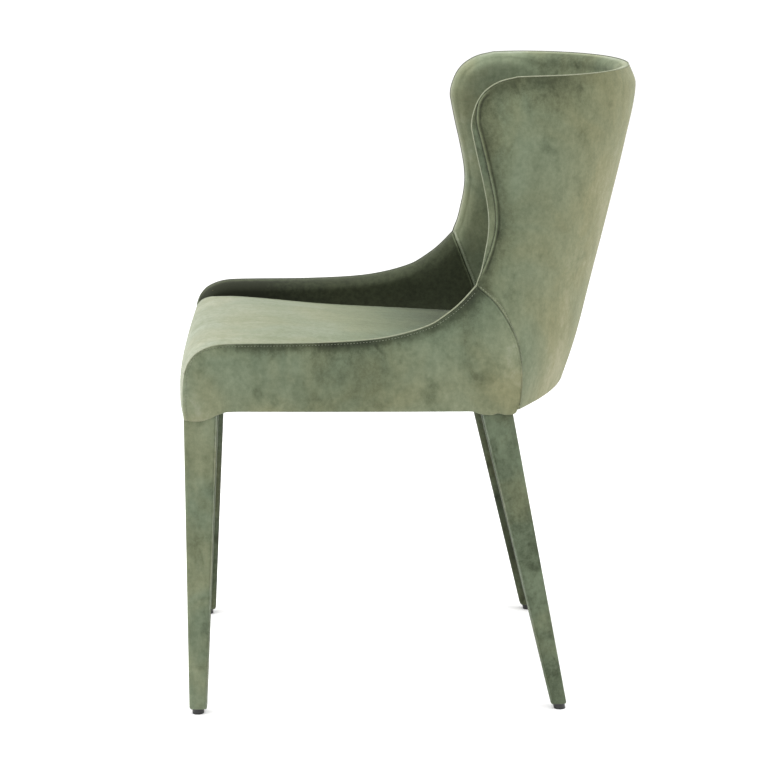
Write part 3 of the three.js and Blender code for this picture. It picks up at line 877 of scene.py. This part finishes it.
def rim_at(share):
    """A point of the rim in metres, from one front corner (0) round to the other (1)."""
    side = 1 if share <= 0.5 else -1
    d = min(share, 1 - share) * 2 * (arm_rim.length + wing_rim.length + top_rim.length)
    if d < arm_rim.length:
        y, z = arm_rim(d / arm_rim.length)
        return Vector((side * (half_width(z) - EDGE + 0.3), y, z)) * MM
    d -= arm_rim.length
    rest = wing_rim if d < wing_rim.length else top_rim
    s, z = rest(d / rest.length) if rest is wing_rim else rest((d - wing_rim.length) / rest.length)
    return body_point(side, s, z, EDGE - 0.3)


def bead_place(u, v):
    here = rim_at(u)
    along = (rim_at(min(u + 0.0005, 1)) - rim_at(max(u - 0.0005, 0))).normalized()
    out = Vector((here.x, max(here.y - OVAL_CENTRE, 0), 0))
    out = (out - along * out.dot(along)).normalized()
    turn = 2 * math.pi * v
    return here + (out * math.cos(turn) + along.cross(out) * math.sin(turn)) * BEAD * MM


def bead_tone(u, v):
    """A painted highlight, palest outside; deeper where it turns to the inside, most on the right arm, as
    painted shade.
    """
    inner = 0.4 if u < 0.5 else 0.15
    return inner + (0.82 - inner) * smooth(0.6 + math.cos(2 * math.pi * v)), 0.4


bm = lay([i / 900 for i in range(901)], [i / 10 for i in range(11)], bead_place, (0, 0, 0), bead_tone)
bmesh.ops.remove_doubles(bm, verts=bm.verts, dist=1e-6)
bmesh.ops.holes_fill(bm, edges=bm.edges, sides=0)
bmesh.ops.recalc_face_normals(bm, faces=bm.faces)
make("rim_bead_velvet", bm, arm_velvet)
print("rim bead, mm:", round(2 * (arm_rim.length + wing_rim.length + top_rim.length)))

# %% [markdown]
# ## Seat cover
# The seat cover runs from the hem at the front, up over the nose, and back between the arms
# to the crease of the back. At the front it is as wide as the chair and is sewn to the side
# covers. Behind the nose it is tucked down between the arms. It is crowned in the middle by
# the foam. It is painted palest at the nose as painted light, and darker back towards the
# crease as painted shade.

# %% Seat cover
SEAT_HALF = 204.5  # half its width between the arms
SEAT_WIDTH = 463
SEAT_LENGTH = 590
NOSE_END = 0.105  # share of its length at which the arms begin


def seat_line(share):
    """The cover's line at a share of its half width: front hem, nose, top, back crease."""
    flat = 1 - share ** 2
    crown = 9 * (1 - share ** 2.5)
    crease_turn = math.acos(min(share * SEAT_HALF / (half_width(480) - 40), 1))
    reach = rear(478) - oval_start(478) - 44
    back = oval_start(478) - 6 + reach * math.sin(crease_turn) ** pointed(478)
    points = [(-303 - 13 * flat, 416.5), (-304.3 - 10.7 * flat, 440), (-303.4 - 7.2 * flat, 462),
              (-300.5 - 3.8 * flat, 480), (-291 - 4 * flat, 491 + crown * 0.3),
              (-275 - 4 * flat, 497 + crown * 0.55), (-238 - 3 * flat, 497.5 + crown * 0.85)]
    for t in (0.45, 0.7, 1.0):
        points.append((-310 + (back + 310) * t, 497 - 26 * t + crown * (1 - 0.7 * t * t)))
    return course(points)


seat_lines = {}


def seat_place(u, v):
    share = abs(2 * u - 1)
    key = round(share, 4)
    if key not in seat_lines:
        seat_lines[key] = seat_line(key)
    y, z = seat_lines[key](v)
    between = smooth((v - NOSE_END) / 0.12)  # 0 on the front, 1 between the arms
    half = (half_width(min(z, 480)) - 2.2) * (1 - between) + SEAT_HALF * between
    from_side = (1 - share) * half
    sewn = 1 - smooth((v - NOSE_END) / 0.02)
    back_in = (dip(from_side, 2.0, 3) + felled(from_side)) * sewn
    down = dip(from_side, 8, 12) * (1 - sewn)
    return Vector((math.copysign(share * half, 2 * u - 1), y + back_in, z - down)) * MM


def seat_tone(u, v):
    # painted light at the nose, and painted shade growing towards the back crease between the arms
    nap_and_painted_light = 0.88 - 0.14 * smooth((v - 0.1) / 0.3) - 0.58 * smooth((v - 0.42) / 0.5)
    return nap_and_painted_light, 0.34 - 0.42 * smooth((v - 0.4) / 0.5)


def pinned_seat(co):
    """1 along the sides, round the nose and in the crease, 0 where the cover may swell."""
    return 1 - smooth(min(190 - abs(co.x), co.y + 275, 120 - co.y) / 22)


seat_us = stations(SEAT_WIDTH, NEAR_SEAM, NEAR_SEAM, pitch=4.5)
seat_vs = stations(SEAT_LENGTH, (0, 1, 3, 6), (0, 1, 3, 6), pitch=4)
coarse_us = stations(SEAT_WIDTH, pitch=COARSE)
coarse_vs = stations(SEAT_LENGTH, pitch=COARSE)
moved = swelling(coarse_us, coarse_vs, seat_place, (0, 0, 1), pinned_seat, pressure=2.5, cap=3.5)
bm = lay(seat_us, seat_vs, blown(seat_place, moved), (0, 0, 1), seat_tone)
seat = cloth_edge(make("seat_velvet", bm, seat_velvet))
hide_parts("seat_cover")
print("seat grid:", len(seat_us), "by", len(seat_vs))

# %% [markdown]
# ## Legs
# Each leg is a steel tube in a sewn velvet sleeve. The section is a soft square that tapers
# to the foot. The sleeve is closed by a seam down the outer corner that faces the middle of
# the chair, where it stands up as a thin ridge with a painted highlight. The inner faces and
# the faces between the legs are painted dark as painted shade, as is the top of each sleeve
# under the seat, and the rear legs are painted darker than the front ones.

# %% Leg sleeves
LEG_TOP = 424.2
SLEEVE_BOTTOM = 8.5
FRONT_LEG = {"top": ((185, 231), (-304.5, -257.5)), "foot": ((198.5, 223.5), (-304.5, -279.5)),
             "seam": (1, 1)}
REAR_LEG = {"top": ((186, 230), (87, 131)), "foot": ((200.5, 223.5), (188.5, 211)), "seam": (1, -1)}
LEGS = (("front", FRONT_LEG), ("rear", REAR_LEG))
AROUND = 96
LEG_ROWS = 56
SOFT_SQUARE = 0.34  # 1 would be round, 0 a sharp square
FOOT_EDGE = ((4.5, 0.0), (3.0, -0.4), (1.4, 0.0), (0.5, 0.9), (0, 2.4))  # (inset, lift) round the foot


def leg_seam_share(leg):
    """Where round the leg its seam is."""
    return (math.atan2(leg["seam"][1], leg["seam"][0]) / (2 * math.pi)) % 1


def from_leg_seam(leg, share):
    """How far round the leg a place is from its seam, as a share of the way round."""
    return (share - leg_seam_share(leg) + 0.5) % 1 - 0.5


def leg_point(leg, side, share, z, inset=0.0):
    """A point round the leg's soft square at a height."""
    t = (LEG_TOP - z) / (LEG_TOP - SLEEVE_BOTTOM)
    (x0, x1), (y0, y1) = [[a + (b - a) * t for a, b in zip(leg["top"][k], leg["foot"][k])] for k in (0, 1)]
    turn = 2 * math.pi * share
    c, s = math.cos(turn), math.sin(turn)
    ex = math.copysign(abs(c) ** SOFT_SQUARE, c)
    ey = math.copysign(abs(s) ** SOFT_SQUARE, s)
    away = from_leg_seam(leg, share)
    ridge = 0.9 * bump_at(away, 0, 0.006) - 0.45 * bump_at(abs(away), 0.016, 0.006)
    half_x, half_y = (x1 - x0) / 2 - inset - 0.4, (y1 - y0) / 2 - inset - 0.4
    x = (x0 + x1) / 2 + half_x * ex + ridge * leg["seam"][0]
    y = (y0 + y1) / 2 + half_y * ey + ridge * leg["seam"][1]
    return Vector((side * x, y, z)) * MM


def leg_tone(leg):
    def tone(u, row):
        turn = 2 * math.pi * u
        # painted shade on the inner faces and on the faces between the legs
        inner = max(-math.cos(turn), 0) ** 4
        middle = max(math.sin(turn) * leg["seam"][1], 0) ** 4
        away = from_leg_seam(leg, u)
        nap_and_painted_light = (0.57 if leg is FRONT_LEG else 0.42) - 0.2 * inner - 0.28 * middle
        # painted shade at the top of the sleeve, under the seat, and a painted highlight on the seam's ridge
        nap_and_painted_light -= 0.1 * smooth((row - LEG_ROWS) / 6)
        return nap_and_painted_light + (0.92 - nap_and_painted_light) * bump_at(away, 0, 0.008), 0.2
    return tone


def leg_bm(leg, side):
    rows = [(inset, SLEEVE_BOTTOM + lift) for inset, lift in FOOT_EDGE]
    start = rows[-1][1]
    rows += [(0, start + (LEG_TOP - start) * i / LEG_ROWS) for i in range(1, LEG_ROWS + 1)]

    def place(u, row):
        inset, z = rows[round(row)]
        return leg_point(leg, side, u, z, inset)

    seam = leg_seam_share(leg)
    near_seam = [seam + d for d in (-0.022, -0.016, -0.01, -0.005, 0, 0.005, 0.01, 0.016, 0.022)]
    even = [i / AROUND for i in range(AROUND + 1)]
    shares = sorted(near_seam + [e for e in even if abs(e - seam) > 0.026])
    bm = lay(shares, [float(r) for r in range(len(rows))], place, (0, 0, 0), leg_tone(leg))
    bmesh.ops.remove_doubles(bm, verts=bm.verts, dist=1e-6)
    bmesh.ops.recalc_face_normals(bm, faces=bm.faces)
    return bm


for side_name, side in SIDES:
    for end, leg in LEGS:
        name = f"{end}_{side_name}_leg"
        piece = cloth_edge(make(f"{name}_velvet", leg_bm(leg, side), leg_velvet))
        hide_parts(f"{name}_sleeve")
print("leg sleeves:", len(SIDES) * len(LEGS))

# %% [markdown]
# ## Plain finishes
# What little shows of the rest is black moulded plastic under each foot, and the black
# non-woven cloth that closes the seat from below. Inside are plywood, foam, webbing, painted
# steel and zinc.

# %% Plain finishes
def plain(name, colour, rough, grain_scale, grain=0.12, metal=0.0, bump_mm=0.1, stretch=(1, 1, 1)):
    """One colour with a grain that shows in its tone, its gloss and its surface."""
    mat = blank_finish(name)
    nodes, links = mat.node_tree.nodes, mat.node_tree.links
    shader = nodes["Principled BSDF"]
    shader.inputs["Metallic"].default_value = metal
    coords = nodes.new("ShaderNodeTexCoord")
    speckle = noise(mat, coords.outputs["Object"], grain_scale, 4, rough=0.5, stretch=stretch)
    tone = nodes.new("ShaderNodeValToRGB")
    tone.color_ramp.elements[0].position = 0.3
    tone.color_ramp.elements[1].position = 0.7
    tone.color_ramp.elements[0].color = (*[c * (1 - grain) for c in colour], 1)
    tone.color_ramp.elements[1].color = (*[c * (1 + grain) for c in colour], 1)
    links.new(speckle, tone.inputs["Fac"])
    links.new(tone.outputs["Color"], shader.inputs["Base Color"])
    worn = nodes.new("ShaderNodeMapRange")
    worn.inputs["To Min"].default_value = rough - 0.08
    worn.inputs["To Max"].default_value = rough + 0.08
    links.new(speckle, worn.inputs["Value"])
    links.new(worn.outputs["Result"], shader.inputs["Roughness"])
    roughen(mat, speckle, 0.4, bump_mm * MM)
    return mat


finishes = {
    "foam": plain("foam", (0.78, 0.72, 0.53), 0.9, 700, bump_mm=0.5),
    "plywood": plain("plywood", (0.56, 0.37, 0.16), 0.6, 60, grain=0.25, stretch=(1, 1, 9)),
    "leg_steel": plain("leg_steel", (0.02, 0.02, 0.021), 0.45, 300, metal=0.3),
    "zinc_bolt": plain("zinc_bolt", (0.5, 0.51, 0.53), 0.35, 500, metal=1.0),
    "webbing": plain("webbing", (0.03, 0.024, 0.02), 0.85, 900, grain=0.3, bump_mm=0.4),
    "dust_cloth": plain("dust_cloth", (0.012, 0.012, 0.012), 0.95, 1200, grain=0.4, bump_mm=0.3),
    "glide_plastic": plain("glide_plastic", (0.006, 0.006, 0.006), 0.4, 400),
    "velvet": outer_velvet,
    "velvet_lining": lining_velvet,
}
slots = {row["node"]: row["material_slot"] for row in frame["record"]["subparts"]}
for node, slot in slots.items():
    part = bpy.data.objects[node]
    part.data.materials.clear()
    part.data.materials.append(finishes[slot])
print("frame pieces finished:", len(slots))

# %% [markdown]
# ## Topstitching
# A row of machine stitches runs beside each main seam, through the folded allowance. Every
# stitch is a short round thread that lies in the dent it has pulled, so one small stretched
# ball is repeated along the line that the panel's own rule gives.

# %% Thread
STITCH = 3.0
STITCH_PITCH = 4.2
THREAD = 0.9
thread = plain("thread", (0.135, 0.148, 0.10), 0.6, 900, grain=0.2)


def stitch_row(bm, points, outward):
    """Stitches along a line of points in metres, a hair above the cloth."""
    line = np.array([p[:] for p in points])
    run = np.concatenate([[0], np.cumsum(np.linalg.norm(np.diff(line, axis=0), axis=1))]) / MM

    def at(d):
        return Vector([np.interp(d, run, line[:, k]) for k in range(3)])

    for k in range(int(run[-1] / STITCH_PITCH)):
        a, b = at(k * STITCH_PITCH), at(k * STITCH_PITCH + STITCH)
        turn = (b - a).to_track_quat("X", "Z").to_matrix().to_4x4()
        size = Matrix.Diagonal((STITCH / 2 * MM, THREAD / 2 * MM, THREAD / 2 * MM, 1))
        middle = Matrix.Translation((a + b) / 2 + Vector(outward) * 0.1 * MM)
        bmesh.ops.create_icosphere(bm, subdivisions=1, radius=1, matrix=middle @ turn @ size)


def shares_between(low, high, count=240):
    return [low + (high - low) * i / count for i in range(count + 1)]


for side_name, side in SIDES:
    bm = bmesh.new()
    place = side_place(side)
    top = [place(u, 1 - ALLOWANCE / side_patch.height(u)) for u in shares_between(0.012, 0.985)]
    front = [place(ALLOWANCE / side_patch.width(v), v) for v in shares_between(0.05, 0.94)]
    stitch_row(bm, top, (side, 0, 0))
    stitch_row(bm, front, (side, 0, 0))
    wing = [back_place(side, ALLOWANCE / back_patch.width(v), v) for v in shares_between(0.02, 0.36)]
    stitch_row(bm, wing, (side, 0, 0))
    inner = [lining_place(side, ALLOWANCE / lining_patch.width(v), v) for v in shares_between(0.06, 0.28)]
    stitch_row(bm, inner, (-side, 0, 0))
    make(f"{side_name}_topstitching", bm, thread)
print("topstitch rows:", 4 * len(SIDES))

# %% [markdown]
# ## The room
# A pale seamless floor that glows faintly, a large soft light above, one from the front and one
# from behind, as in a product studio. The camera stands almost square to the left side, a little
# higher than the chair, with a long lens, so that the chair's lines stay nearly parallel.

# %% Floor, lights and camera
floor_bm = bmesh.new()
bmesh.ops.create_grid(floor_bm, x_segments=1, y_segments=1, size=20)
floor_mesh = bpy.data.meshes.new("floor")
floor_bm.to_mesh(floor_mesh)
floor_bm.free()
floor = bpy.data.objects.new("floor", floor_mesh)
bpy.context.scene.collection.objects.link(floor)
paper = bpy.data.materials.new("paper")
paper.use_nodes = True
matt = paper.node_tree.nodes["Principled BSDF"].inputs
matt["Base Color"].default_value = (0.97, 0.97, 0.97, 1)
matt["Roughness"].default_value = 0.9
matt["Emission Color"].default_value = (1, 1, 1, 1)
matt["Emission Strength"].default_value = 0.07
floor_mesh.materials.append(paper)

world = bpy.data.worlds.new("room")
bpy.context.scene.world = world
world.use_nodes = True
sky = world.node_tree.nodes["Background"].inputs
sky["Color"].default_value = (1, 1, 1, 1)
sky["Strength"].default_value = 1.04


def softbox(name, place, target, size, power):
    light = bpy.data.lights.new(name, "AREA")
    light.shape = "RECTANGLE"
    light.size, light.size_y = size
    light.energy = power
    lamp = bpy.data.objects.new(name, light)
    lamp.location = place
    lamp.rotation_euler = (Vector(place) - Vector(target)).to_track_quat("Z", "Y").to_euler()
    bpy.context.scene.collection.objects.link(lamp)


softbox("overhead", (0.2, -0.3, 2.6), (0, 0, 0.5), (1.8, 1.8), 60)
softbox("front", (1.2, -2.6, 1.6), (0, 0, 0.5), (1.6, 1.2), 35)
softbox("behind", (1.0, 2.6, 1.5), (0, 0.1, 0.5), (1.4, 1.2), 35)

AZIMUTH = math.radians(87.63)
ELEVATION = math.radians(13.14)
DISTANCE = 3.302
TARGET = Vector((0, -0.0317, 0.4094))
toward = Vector((math.sin(AZIMUTH) * math.cos(ELEVATION), -math.cos(AZIMUTH) * math.cos(ELEVATION),
                 math.sin(ELEVATION)))
lens = bpy.data.cameras.new("camera")
lens.sensor_width = 36
lens.lens = 109.65
camera = bpy.data.objects.new("camera", lens)
camera.location = TARGET + toward * DISTANCE
camera.rotation_euler = toward.to_track_quat("Z", "Y").to_euler()
bpy.context.scene.collection.objects.link(camera)
bpy.context.scene.camera = camera
bpy.context.scene.view_settings.view_transform = "Standard"
print("camera", DISTANCE, "m from the chair, lights:", len(bpy.data.lights))
